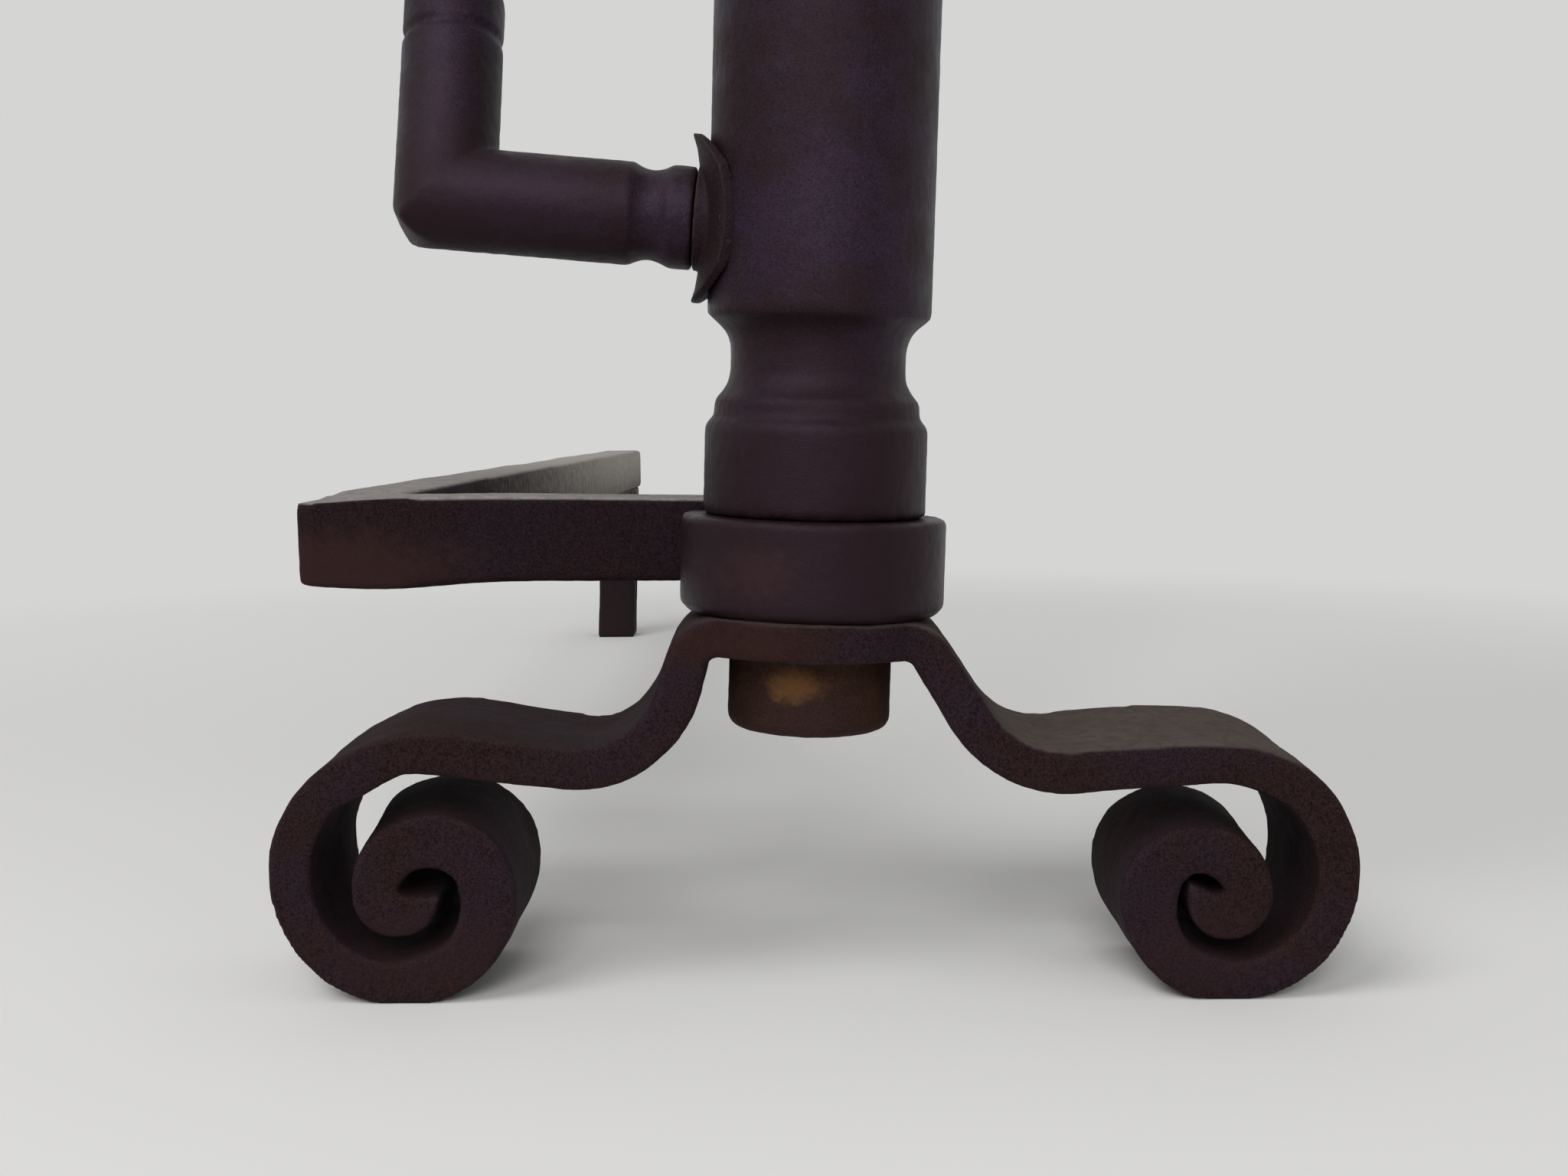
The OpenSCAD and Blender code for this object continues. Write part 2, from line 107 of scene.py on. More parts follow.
scene = bpy.context.scene
camera = bpy.data.objects.new("camera", bpy.data.cameras.new("camera"))
scene.collection.objects.link(camera)
camera.data.sensor_width = 36
camera.data.lens = FOCAL_PX / PICTURE_W * camera.data.sensor_width
camera.data.clip_start = 0.01
turn = (Matrix.Rotation(math.radians(-YAW), 4, "Z")
        @ Matrix.Rotation(math.radians(90 - PITCH), 4, "X")
        @ Matrix.Rotation(math.radians(ROLL), 4, "Z"))
camera.matrix_world = Matrix.Translation(CAMERA_FROM_POST + Vector((0, POST_Y, 0))) @ turn
scene.camera = camera
scene.view_settings.view_transform = "Standard"
print("lens %.1f mm" % camera.data.lens)


# %% [markdown]
# Shader nodes are made in the same few steps each time, so small helpers keep the recipes short. `add` makes
# a node with its settings and inputs, where a value may be a number, a colour, or the output of another node.
# An input is named with an underscore for each space, or by its number when several share a name: `_0`, `_1`.

# %% helper that adds a node
def add(tree, kind, settings=None, **inputs):
    node = tree.nodes.new("ShaderNode" + kind)
    for name, value in (settings or {}).items():
        setattr(node, name, value)
    for name, value in inputs.items():
        key = int(name[1:]) if name[0] == "_" else name.replace("_", " ")
        if isinstance(value, bpy.types.NodeSocket):
            tree.links.new(value, node.inputs[key])
        else:
            node.inputs[key].default_value = value
    return node


print("helper: add")


# %% [markdown]
# A material starts empty, so that nothing is left over from Blender's default. A node group is a recipe that
# several materials use: it's opened with named sockets, built once, and placed with `use`, each time with
# other values. That way the grain of the post and the grain of the feet are the same effect.

# %% helpers that open a material and a group
def new_material(name):
    material = bpy.data.materials.new(name)
    material.use_nodes = True
    material.node_tree.nodes.clear()
    return material, material.node_tree


def new_group(name, inputs, outputs):
    group = bpy.data.node_groups.new(name, "ShaderNodeTree")
    for socket, kind, value in inputs:
        made = group.interface.new_socket(socket, in_out="INPUT", socket_type="NodeSocket" + kind)
        made.default_value = value
    for socket, kind in outputs:
        group.interface.new_socket(socket, in_out="OUTPUT", socket_type="NodeSocket" + kind)
    return group, group.nodes.new("NodeGroupInput").outputs, group.nodes.new("NodeGroupOutput").inputs


def use(tree, group, **inputs):
    return add(tree, "Group", {"node_tree": group}, **inputs).outputs


print("helpers: new_material, new_group, use")


# %% [markdown]
# Four small steps turn up in every recipe: a soft ramp from 0 to 1 between two values, a product of two
# masks, a colour laid over another through a mask, and noise with spots of a given size.

# %% helpers that ramp, multiply, tint and speckle
def ramp(tree, value, start, end):
    soft = {"interpolation_type": "SMOOTHSTEP"}
    return add(tree, "MapRange", soft, Value=value, From_Min=start, From_Max=end).outputs["Result"]


def times(tree, a, b):
    return add(tree, "Math", {"operation": "MULTIPLY", "use_clamp": True}, _0=a, _1=b).outputs[0]


def tint(tree, mask, under, over):
    return add(tree, "Mix", {"data_type": "RGBA"}, _0=mask, _6=under, _7=over).outputs[2]


def speckle(tree, place, size, detail, roughness=0.5):
    spots = add(tree, "TexNoise", Vector=place, Scale=1 / size, Detail=detail, Roughness=roughness)
    return spots.outputs["Fac"]


print("helpers: ramp, times, tint, speckle")


# %% [markdown]
# Black iron that has been through many fires isn't one colour. A fine grain of oxide breaks it up at about
# half a millimetre, and soft clouds a few centimetres wide drift from violet-black to brown-black. A painted
# picture of that would show seams, so noise in the object's own space makes it: it has no seams and needs no
# unwrapping. The group gives a colour, and the same grain as a height, so that colour and bump agree.

# %% oxide grain
GRAIN_SIZE = 0.5 * MM
CLOUD_SIZE = 26 * MM


def make_oxide_grain():
    group, given, result = new_group("oxide_grain", [
        ("Cool", "Color", (0.02, 0.02, 0.02, 1)), ("Warm", "Color", (0.03, 0.02, 0.02, 1)),
        ("Speck", "Float", 0.3)], [("Color", "Color"), ("Height", "Float"), ("Mottle", "Float")])
    place = add(group, "TexCoord").outputs["Object"]
    cloud = speckle(group, place, CLOUD_SIZE, detail=5.0, roughness=0.62)
    grain = speckle(group, place, GRAIN_SIZE, detail=4.0, roughness=0.7)
    patch = ramp(group, cloud, 0.38, 0.62)
    base = tint(group, patch, given["Cool"], given["Warm"])
    fleck = add(group, "MapRange", Value=grain, From_Min=0.3, From_Max=0.7, To_Min=-1.0).outputs[0]
    swing = add(group, "Math", {"operation": "MULTIPLY_ADD"}, _0=fleck, _1=given["Speck"], _2=1.0).outputs[0]
    shade = add(group, "VectorMath", {"operation": "SCALE"}, _0=base, Scale=swing).outputs[0]
    group.links.new(shade, result["Color"])
    group.links.new(grain, result["Height"])
    group.links.new(patch, result["Mottle"])
    return group


OXIDE = make_oxide_grain()
print("oxide grain: specks of %.1f mm in clouds of %.0f mm" % (GRAIN_SIZE / MM, CLOUD_SIZE / MM))


# %% [markdown]
# Hands, logs and pokers rub the corners of the iron to a slightly lighter line. Blender knows how sharply a
# dense mesh turns at each vertex, a value called pointiness: 0.5 is flat and more is a ridge. The group turns
# it into a mask, which needs no painting, and breaks the line with noise, because wear is never even.

# %% edge wear
WEAR_SIZE = 4 * MM


def make_edge_wear():
    group, given, result = new_group("edge_wear", [("From", "Float", 0.52), ("To", "Float", 0.6)],
                                     [("Mask", "Float")])
    place = add(group, "TexCoord").outputs["Object"]
    point = add(group, "NewGeometry").outputs["Pointiness"]
    ridge = ramp(group, point, given["From"], given["To"])
    broken = ramp(group, speckle(group, place, WEAR_SIZE, detail=3.0), 0.3, 0.6)
    group.links.new(times(group, ridge, broken), result["Mask"])
    return group


EDGE_WEAR = make_edge_wear()
print("edge wear: breaks of about %.0f mm" % (WEAR_SIZE / MM))


# %% [markdown]
# Rust and ash come in patches: on the bar's corner, on the collar, at the feet, along the log rest. The group
# makes a ragged patch round a centre that is given in metres. It measures how far a point lies from the
# centre, as a share of the reach, and lets noise eat the outline, so one recipe serves all the patches.

# %% ragged patch
BITE_SIZE = 3 * MM
FULL_WITHIN = 0.25                      # share of the reach within which the patch is full


def make_ragged_patch():
    group, given, result = new_group("ragged_patch", [
        ("Centre", "Vector", (0, 0, 0)), ("Reach", "Vector", (0.02, 0.02, 0.02)), ("Ragged", "Float", 0.6)],
        [("Mask", "Float")])
    place = add(group, "TexCoord").outputs["Object"]
    off = add(group, "VectorMath", {"operation": "SUBTRACT"}, _0=place, _1=given["Centre"]).outputs[0]
    share = add(group, "VectorMath", {"operation": "DIVIDE"}, _0=off, _1=given["Reach"]).outputs[0]
    far = add(group, "VectorMath", {"operation": "LENGTH"}, _0=share).outputs["Value"]
    eaten = speckle(group, place, BITE_SIZE, detail=5.0, roughness=0.68)
    level = add(group, "Math", {"operation": "SUBTRACT"}, _0=eaten, _1=0.5).outputs[0]
    edge = add(group, "Math", {"operation": "MULTIPLY_ADD"}, _0=level, _1=given["Ragged"], _2=far).outputs[0]
    group.links.new(ramp(group, edge, 1.0, FULL_WITHIN), result["Mask"])
    return group


PATCH = make_ragged_patch()
print("ragged patch: its outline is eaten in bites of about %.0f mm" % (BITE_SIZE / MM))


# %% [markdown]
# Ash and dust settle on what faces up, and the light from above falls there too, so this pale layer is partly
# dust and partly painted light. The object's own normal tells which way a face looks, and the mask grows from
# faces that lean to those that lie flat. The layer only lies above a given height, so the insides of the
# scrolls stay dark, and the left side may hold less of it than the right.

# %% settled dust and painted top light
PALE_BREAK_SIZE = 3 * MM
THINNEST = 0.55                         # the share of the pale layer that is left where the noise takes most away
PALE_TOP_EDGE = 5 * MM                      # the height over which the pale layer of dust and painted light begins
SIDE_REACH = 45 * MM                    # across the middle, over twice this width, the left share grows to 1


def make_dust_and_top_light():
    group, given, result = new_group("dust_and_top_light", [
        ("Start", "Float", 0.5), ("Full", "Float", 0.95), ("Above", "Float", 0.0),
        ("Left Share", "Float", 1.0)], [("Mask", "Float")])
    spot = add(group, "TexCoord").outputs
    place = add(group, "SeparateXYZ", _0=spot["Object"]).outputs
    up = add(group, "SeparateXYZ", _0=spot["Normal"]).outputs["Z"]
    facing = ramp(group, up, given["Start"], given["Full"])
    over = add(group, "Math", {"operation": "SUBTRACT"}, _0=place["Z"], _1=given["Above"]).outputs[0]
    open_air = times(group, facing, ramp(group, over, -PALE_TOP_EDGE, 0))
    patchy = speckle(group, spot["Object"], PALE_BREAK_SIZE, detail=6.0, roughness=0.7)
    left = add(group, "MapRange", Value=patchy, From_Min=0.3, From_Max=0.6, To_Min=THINNEST).outputs[0]
    side = add(group, "MapRange", Value=place["X"], From_Min=-SIDE_REACH, From_Max=SIDE_REACH,
               To_Min=given["Left Share"]).outputs[0]
    lies = times(group, open_air, left)
    group.links.new(times(group, lies, side), result["Mask"])
    return group


DUST_AND_TOP_LIGHT = make_dust_and_top_light()
print("groups:", ", ".join(g.name for g in bpy.data.node_groups))


# %% [markdown]
# All finishes share one skin: a dark, rough, barely shiny shader with the grain as its bump. Each finish then
# lays its own rust, dust, worn edges, painted light and painted shade over the oxide, from a list of masks
# and colours. The sheen of old black iron is slightly violet, so the reflection has a tint. A value that is
# the same all over a piece, such as that tint, is written on the shader's own socket, where an export can
# read it.

# %% iron skin
FINISHES = {}
SHEEN = (0.88, 0.70, 0.95, 1)
ROUGH_SWING = 0.06
GRAIN_HEIGHT = 0.25 * MM


def iron_skin(name, cool, warm, speck, roughness, bump, gloss, layers):
    material, tree = new_material("old_" + name)
    FINISHES[name] = material
    oxide = use(tree, OXIDE, Cool=cool, Warm=warm, Speck=speck)
    color = oxide["Color"]
    for mask_of, over in layers:
        color = tint(tree, mask_of(tree), color, over)
    rough = add(tree, "MapRange", Value=oxide["Mottle"], To_Min=roughness - ROUGH_SWING,
                To_Max=roughness + ROUGH_SWING)
    pitted = add(tree, "Bump", Height=oxide["Height"], Strength=bump, Distance=GRAIN_HEIGHT)
    skin = add(tree, "BsdfPrincipled", Base_Color=color, Roughness=rough.outputs["Result"],
               Normal=pitted.outputs["Normal"])
    skin.inputs["Specular IOR Level"].default_value = gloss
    skin.inputs["Specular Tint"].default_value = SHEEN
    add(tree, "OutputMaterial", Surface=skin.outputs["BSDF"])
    print("finish %s: %d layers over the oxide" % (name, len(layers)))


print("iron skin: the grain is %.2f mm high" % (GRAIN_HEIGHT / MM))


# %% [markdown]
# A layer is a mask and a colour. These three functions each answer with a function that builds its mask in
# whatever material asks for it: a patch round a place, dust and painted light on what faces up, and wear on
# the edges.

# %% the three kinds of layer
def bloom(centre, reach, ragged, strength):
    """The centre is in metres, the reach in mm along x, y and z."""
    def mask(tree):
        found = use(tree, PATCH, Centre=centre, Reach=[r * MM for r in reach], Ragged=ragged)["Mask"]
        return times(tree, found, strength)
    return mask


# pale tops: dust and painted light from above
def dusty_and_top_lit(start, full, strength, above=0.0, left_share=1.0):
    def mask(tree):
        found = use(tree, DUST_AND_TOP_LIGHT, Start=start, Full=full, Above=above, Left_Share=left_share)["Mask"]
        return times(tree, found, strength)
    return mask


def worn(start, full, strength):
    return lambda tree: times(tree, use(tree, EDGE_WEAR, From=start, To=full)["Mask"], strength)


print("layers: bloom, dusty, worn")


# %% [markdown]
# The post, the collar and the arm came off a lathe and are blackened. High up they are violet and a little
# shiny. Near the foot and on the arm the black is browner, and the collar has one faint rusty spot. Two wide
# patches of brown do that in one material, so the post changes from one to the other without a border. The
# patch at the foot is painted shade: it darkens the lower post and the collar, where the sheen fades.

# %% finish of the turned pieces
VIOLET_BLACK = (0.0165, 0.0082, 0.0170, 1)
BROWN_BLACK = (0.0120, 0.0050, 0.0055, 1)
RED_BROWN = (0.030, 0.0135, 0.0125, 1)
WORN_AND_LIT_GREY = (0.045, 0.033, 0.034, 1)

ELBOW = (low("arm", 0), POST_Y, low("arm", 2))
POST_FOOT_SHADE = (0, POST_Y, low("collar", 2))
COLLAR_SPOT = (low("collar", 0) + 16 * MM, low("collar", 1), middle("collar", 2))

iron_skin("turned_iron", VIOLET_BLACK, BROWN_BLACK, speck=0.9, roughness=0.42, bump=0.6, gloss=0.17, layers=[
    (bloom(ELBOW, (85, 40, 65), ragged=0.6, strength=0.85), BROWN_BLACK),
    # painted shade: the lower post and the collar browner and darker, where the sheen fades
    (bloom(POST_FOOT_SHADE, (90, 90, 95), ragged=0.6, strength=0.95), BROWN_BLACK),
    (bloom(COLLAR_SPOT, (14, 14, 9), ragged=1.2, strength=0.5), RED_BROWN),
    (worn(start=0.515, full=0.57, strength=0.5), WORN_AND_LIT_GREY)])


# %% [markdown]
# The foot strip was forged, so it's rougher and hardly shines. Its rust sits where water stays: in front
# under the collar, and low on the scrolls. The upper runs are paler with grey dust and painted light from
# above, much more of both on the right.

# %% finish of the foot strip
STRIP_VIOLET = (0.0165, 0.0092, 0.0125, 1)
STRIP_BROWN = (0.0185, 0.0092, 0.0085, 1)
DARK_RUST = (0.028, 0.0120, 0.0085, 1)
GREY_DUST_AND_TOP_LIGHT = (0.100, 0.082, 0.069, 1)

EYE_IN = 34 * MM                        # from the strip's end to the eye of its scroll
UNDER_COLLAR = (-18 * MM, STRIP_FRONT, high("foot_strip", 2) - 5 * MM)
LEFT_FOOT = (low("foot_strip", 0) + EYE_IN, STRIP_FRONT, 12 * MM)
RIGHT_FOOT = (high("foot_strip", 0) - EYE_IN, STRIP_FRONT, 12 * MM)

iron_skin("forged_iron", STRIP_VIOLET, STRIP_BROWN, speck=0.9, roughness=0.85, bump=0.9, gloss=0.1, layers=[
    (bloom(UNDER_COLLAR, (30, 30, 9), ragged=1.0, strength=0.7), DARK_RUST),
    (bloom(LEFT_FOOT, (34, 60, 14), ragged=1.0, strength=0.35), RED_BROWN),
    (bloom(RIGHT_FOOT, (34, 60, 14), ragged=1.0, strength=0.25), RED_BROWN),
    # grey dust and painted light from above on the upper runs, far less on the left
    (dusty_and_top_lit(start=0.35, full=0.9, strength=0.8, above=55 * MM, left_share=0.12), GREY_DUST_AND_TOP_LIGHT),
    (worn(start=0.515, full=0.58, strength=0.35), WORN_AND_LIT_GREY)])


# %% [markdown]
# The log bar is as rough as the strip. It's rusty low on its front corner, and pale on top with ash and
# painted light from above. It's palest at the rear, where the logs burn and the painted light is strongest.
# One faint grey patch of painted light lifts the leg out of its shade; the leg has the bar's finish.

# %% finish of the bar and leg
BAR_VIOLET = (0.0122, 0.0070, 0.0092, 1)
BAR_BROWN = (0.0145, 0.0074, 0.0078, 1)
ASH_AND_TOP_LIGHT = (0.36, 0.335, 0.32, 1)
ASHY_LIT_END = (0.50, 0.465, 0.42, 1)

FRONT_CORNER = (low("log_bar", 0) + 12 * MM, low("log_bar", 1), low("log_bar", 2) + 8 * MM)
LEG_PAINTED_LIGHT = (middle("rear_leg", 0), middle("rear_leg", 1), FLOOR_Z)
LIT_BAR_END = (middle("rear_leg", 0), high("log_bar", 1), high("log_bar", 2))

iron_skin("bar_iron", BAR_VIOLET, BAR_BROWN, speck=0.9, roughness=0.85, bump=0.9, gloss=0.1, layers=[
    (bloom(FRONT_CORNER, (40, 30, 14), ragged=1.2, strength=0.8), RED_BROWN),
    # painted light: a faint grey lift on the leg, which stands in shade
    (bloom(LEG_PAINTED_LIGHT, (40, 40, 90), ragged=0.4, strength=0.28), WORN_AND_LIT_GREY),
    # ash and painted light from above on what faces up
    (dusty_and_top_lit(start=0.5, full=0.95, strength=0.9), ASH_AND_TOP_LIGHT),
    # palest towards the rear end: ash and painted light
    (bloom(LIT_BAR_END, (60, 540, 40), ragged=0.5, strength=0.85), ASHY_LIT_END),
    (worn(start=0.515, full=0.58, strength=0.35), WORN_AND_LIT_GREY)])


# %% [markdown]
# The nut is the one rusty piece. It's brown all over, with a bright golden spot in front.
# The small fittings, the bent washer and the pin, are bare iron, a little greyer and rougher than the arm.

# %% finishes of the nut and the fittings
NUT_BROWN = (0.024, 0.0115, 0.0075, 1)
NUT_RUST = (0.040, 0.0185, 0.0090, 1)
GOLDEN_SPOT = (0.13, 0.062, 0.018, 1)
FITTING_VIOLET = (0.0120, 0.0062, 0.0075, 1)
FITTING_BROWN = (0.0125, 0.0062, 0.0065, 1)

NUT_SPOT = (middle("base_nut", 0) - 4 * MM, low("base_nut", 1), middle("base_nut", 2) + 3 * MM)

iron_skin("rusty_iron", NUT_BROWN, NUT_RUST, speck=0.55, roughness=0.75, bump=0.5, gloss=0.14, layers=[
    # a bright golden spot in front of the nut
    (bloom(NUT_SPOT, (9, 9, 5), ragged=1.4, strength=0.75), GOLDEN_SPOT),
    (worn(start=0.515, full=0.58, strength=0.3), DARK_RUST)])
iron_skin("washer_iron", FITTING_VIOLET, FITTING_BROWN, speck=0.8, roughness=0.55, bump=0.6, gloss=0.13,
          layers=[(worn(start=0.51, full=0.56, strength=0.6), WORN_AND_LIT_GREY)])


# %% [markdown]
# A solid straight from a drawing has knife edges and dead flat faces. A bevel would round all its edges
# alike. A worked copy starts from the same solid, so it sits exactly where the construction says. A voxel
# remesh gives it even, small faces, and a few rounds of smoothing take the edge off every corner, most of all
# where the corner is sharp. The grid has to be finer than the narrowest detail of the piece.

# %% remesh a solid
def remeshed(name, node, grid, rounds):
    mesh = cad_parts[node].data.copy()
    piece = bpy.data.objects.new(name, mesh)
    scene.collection.objects.link(piece)
    bm = bmesh.new()
    bm.from_mesh(mesh)
    bmesh.ops.remove_doubles(bm, verts=bm.verts, dist=1e-6)
    bm.to_mesh(mesh)
    bm.free()
    even = piece.modifiers.new("even_faces", "REMESH")
    even.mode = "VOXEL"
    even.voxel_size = grid * MM
    soft = piece.modifiers.new("soft_edges", "SMOOTH")
    soft.factor = 0.5
    soft.iterations = rounds
    ready = bpy.data.meshes.new_from_object(piece.evaluated_get(bpy.context.evaluated_depsgraph_get()))
    piece.modifiers.clear()
    piece.data = ready
    bpy.data.meshes.remove(mesh)
    return piece


print("solids to copy: %d" % len(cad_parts))


# %% [markdown]
# Noise then moves the skin in and out by a fraction of a millimetre, where the hammer bit or scale flaked
# off. Each point is held in the box of its own solid, so the copy can't outgrow it, and is left alone at the
# floor, so it stays standing. A piece that was bent by hand gets a second move, which is held in the whole
# andiron's box. All points are read first and written last, because moving one turns its neighbours' normals.

# %% work over the skin
SKIN_SETTLED = 1 * MM                   # the height over the floor from which the noise has its full effect


def clamped(share):
    return min(1, max(0, share))


def held(at, least, most):
    return Vector([min(max(c, a), b) for c, a, b in zip(at, least, most)])


def work_over(mesh, node, dents, swell, reshape):
    """Each dent is (size in mm, height in mm, seed). The swell makes up for what the smoothing took off."""
    least, most = BOXES[node]
    skin = [(v.co.copy(), v.normal.copy()) for v in mesh.vertices]
    worked = []
    for at, outward in skin:
        height = swell
        for size, deep, seed in dents:
            height += deep * noise.noise(at / (size * MM) + Vector((seed, 0, 0)))
        settle = clamped((at.z - FLOOR_Z) / SKIN_SETTLED)
        new = held(at + outward * height * MM * settle, least, most)
        worked.extend(held(new + reshape(at), *cad_box) if reshape else new)
    mesh.vertices.foreach_set("co", worked)


print("the noise is at full strength from %.0f mm above the floor" % (SKIN_SETTLED / MM))


# %% [markdown]
# One function makes a finished piece from these steps. The copy takes its finish, is shaded smooth, stands in
# for its solid, and rides on the body that the solid belongs to, so the arm's copy turns with the arm. The
# marks that it can get are fine pits, pits where scale flaked off, hammer marks, and long shallow dents.

# %% make a worked copy
FINE_PITS = (2.2, 0.08, 3)
SCALE_PITS = (5, 0.1, 11)
HAMMER = (18, 0.3, 29)
LONG_DENTS = (60, 0.5, 29)


def worked_copy(name, node, finish, grid, rounds, dents, swell=0.0, reshape=None):
    piece = remeshed(name, node, grid, rounds)
    work_over(piece.data, node, dents, swell, reshape)
    piece.data.materials.clear()
    piece.data.materials.append(FINISHES[finish])
    piece.data.polygons.foreach_set("use_smooth", [True] * len(piece.data.polygons))
    piece.data.update()
    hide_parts(node)
    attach(piece, "arm" if node == "arm" else "root")
    print("%s: %d faces" % (name, len(piece.data.polygons)))


print("hammer marks are %d mm wide" % HAMMER[0])


# %% [markdown]
# The post and the collar stay round and crisp, so they get few rounds of smoothing and only the finest pits.
# The nut is more worn: it has lost more of its edge, and some scale.

# %% post, collar and nut
worked_copy("turned_post", "post", "turned_iron", grid=1.0, rounds=3, dents=[FINE_PITS])
worked_copy("turned_collar", "collar", "turned_iron", grid=0.8, rounds=3, dents=[FINE_PITS])
worked_copy("round_nut", "base_nut", "rusty_iron", grid=0.8, rounds=4, dents=[FINE_PITS, SCALE_PITS])


# %% [markdown]
# The foot strip was bent hot, by eye. Its upper runs stand higher at the rear edge than at the front, its
# scrolls lean, and the iron is thicker deep inside them. The solid has the same outline from front to rear,
# so it can't show such a twist. A smith would pull the iron, so we do the same. Each pull moves it round one
# place by a few millimetres and fades with distance. It has one value for the front of the strip and one for
# the rear, and the iron between them follows evenly.

# %% the pulls
PULLS = [
    # part of the strip, x from its middle, z from the floor and reach, all in mm, then the move along x, the
    # move along z and the squeeze towards the place: first at the strip's front, then at its rear
    ("run", -83, 58, 22, (0, 1.1, 0), (0, 3.8, 0)),
    ("run", 71, 58, 25, (0, 0.5, 0), (0, 3.0, 0)),
    ("slope", -42, 70, 13, (0, 0, 0), (-3.4, 0, 0)),
    ("slope", 42, 72, 13, (0, 0, 0), (0.8, 0, 0)),
    ("shoulder", -84, 66, 16, (0, 1.6, 0), (0, 0.2, 0)),
    ("coil", -90, 31, 22, (0, 0, 0), (-2.8, 0.5, -0.10)),
    ("coil", 90, 31, 22, (0, 0, 0), (2.4, 0.5, -0.10)),
    ("outer turn", -110, 27, 8, (0, 0, 0), (2.6, 0, 0)),
    ("outer turn", -110, 39, 8, (0, 0, 0), (3.0, 0, 0)),
    ("outer turn", 111, 26, 8, (0, 0, 0), (-2.4, 0, 0)),
    ("outer turn", 111, 38, 8, (0, 0, 0), (-2.8, 0, 0)),
    ("eye", -84, 27, 9, (0, 0, 0.2), (2.0, 0, 0.5)),
    ("eye", 85, 29, 8, (0, 0, 0.5), (-2.0, 0, 0.5)),
    ("tip", -87, 16, 6, (0, 0, 0), (1.5, -4.4, 0)),
    ("foot", -87.2, 8, 7, (0, 0, 0), (0, 8.3, 0)),
    ("tip", 89, 16, 6, (0, 0, 0), (-1, -2.6, 0)),
    ("foot", 90, 8, 6, (0, 0, 0), (0, 4.5, 0)),
    ("coil", -101, 33, 9, (0, 0, 0), (-1.5, 3.0, 0)),
    ("coil", 104, 31, 7, (0, 0, 0), (1.0, 1.8, 0)),
    ("shoulder", -101, 57, 8, (0, 0, 0), (0, -1.2, 0)),
    ("shoulder", -98, 48, 7, (0.5, -2.0, 0), (0, 0, 0)),
    ("shoulder", 98, 48, 7, (-0.3, -0.8, 0), (0, 0, 0)),
]
print("foot strip: %d pulls" % len(PULLS))


# %% [markdown]
# A run is pulled through its whole thickness, so only the distance along x counts there. The pulls on runs
# and slopes have to spare the coils right below, which a ramp between two heights does. Another ramp lets
# every pull die out in the last millimetres above the floor, so the feet stand flat.

# %% foot strip
RUN_LOW, RUN_HIGH = 49 * MM, 54 * MM
STRIP_SETTLED = 6 * MM


def bent_by_eye(at):
    rearward = (at.y - STRIP_FRONT) / (high("foot_strip", 1) - STRIP_FRONT)
    on_run = clamped((at.z - RUN_LOW) / (RUN_HIGH - RUN_LOW))
    settle = clamped((at.z - FLOOR_Z) / STRIP_SETTLED)
    move = Vector()
    for part, x, z, reach, front, rear in PULLS:
        off = Vector((at.x - STRIP_X - x * MM, 0, at.z - FLOOR_Z - z * MM))
        far = abs(off.x) if part == "run" else off.length
        spared = on_run if part in ("run", "slope") else 1
        share = math.exp(-(far / (reach * MM)) ** 2) * spared * settle
        dx, dz, squeeze = (a + (b - a) * rearward for a, b in zip(front, rear))
        move += (Vector((dx, 0, dz)) * MM - off * squeeze) * share
    return move


worked_copy("scrolled_strip", "foot_strip", "forged_iron", grid=0.8, rounds=4,
            dents=[FINE_PITS, SCALE_PITS, HAMMER], swell=0.15, reshape=bent_by_eye)


# %% [markdown]
# The square bar was heated and bent at its corner. Its underside sags beside the corner, and its top droops
# at the corner and again towards the post. That is only so in its front part, the crossbar, and fades where
# the bar turns to the rear. The rest runs straight back, but swings a little towards the andiron's middle.
# One curve along the whole bar would be easier, but it would bend the straight run as well, so each sag gets
# its own place.

# %% log bar
LIFT, SAG, SAG_AT, SAG_REACH = 0.7, 2.3, 21.5, 20       # all in mm; places are counted from the bar's left
DROOP, DROOP_REACH = 1.4, 16
FALL, FALL_FROM, FALL_OVER = 1.0, 45, 55
CROSSBAR = 20
REAR_SWING = 7


def bar_by_hand(at):
    behind = at.y - low("log_bar", 1)
    across = at.x - low("log_bar", 0)
    height = (at.z - low("log_bar", 2)) / (high("log_bar", 2) - low("log_bar", 2))
    crossbar = clamped(2 - behind / (CROSSBAR * MM))
    below = LIFT - SAG * math.exp(-((across - SAG_AT * MM) / (SAG_REACH * MM)) ** 2)
    above = -DROOP * math.exp(-(across / (DROOP_REACH * MM)) ** 2)
    above -= FALL * clamped((across - FALL_FROM * MM) / (FALL_OVER * MM))
    swing = REAR_SWING * behind / (high("log_bar", 1) - low("log_bar", 1))
    return Vector((swing, 0, (below * (1 - height) + above * height) * crossbar)) * MM


worked_copy("square_log_bar", "log_bar", "bar_iron", grid=1.1, rounds=4, dents=[FINE_PITS, LONG_DENTS],
            swell=0.3, reshape=bar_by_hand)


# %% [markdown]
# The leg's top has to stay under the bar's rear end, so it swings with it. The leg leans: its foot moves only
# half as far as its top. A lean is a move that grows with height, so it needs no rotation.

# %% rear leg
def leg_by_hand(at):
    up = (at.z - FLOOR_Z) / (high("rear_leg", 2) - FLOOR_Z)
    return Vector((REAR_SWING * (0.5 + 0.5 * up), 0, 0)) * MM


worked_copy("square_leg", "rear_leg", "bar_iron", grid=1.2, rounds=3, dents=[SCALE_PITS, HAMMER],
            reshape=leg_by_hand)


# %% [markdown]
# The arm is turned like the post, but it's thinner and has narrow grooves at its end, so its grid is finer.

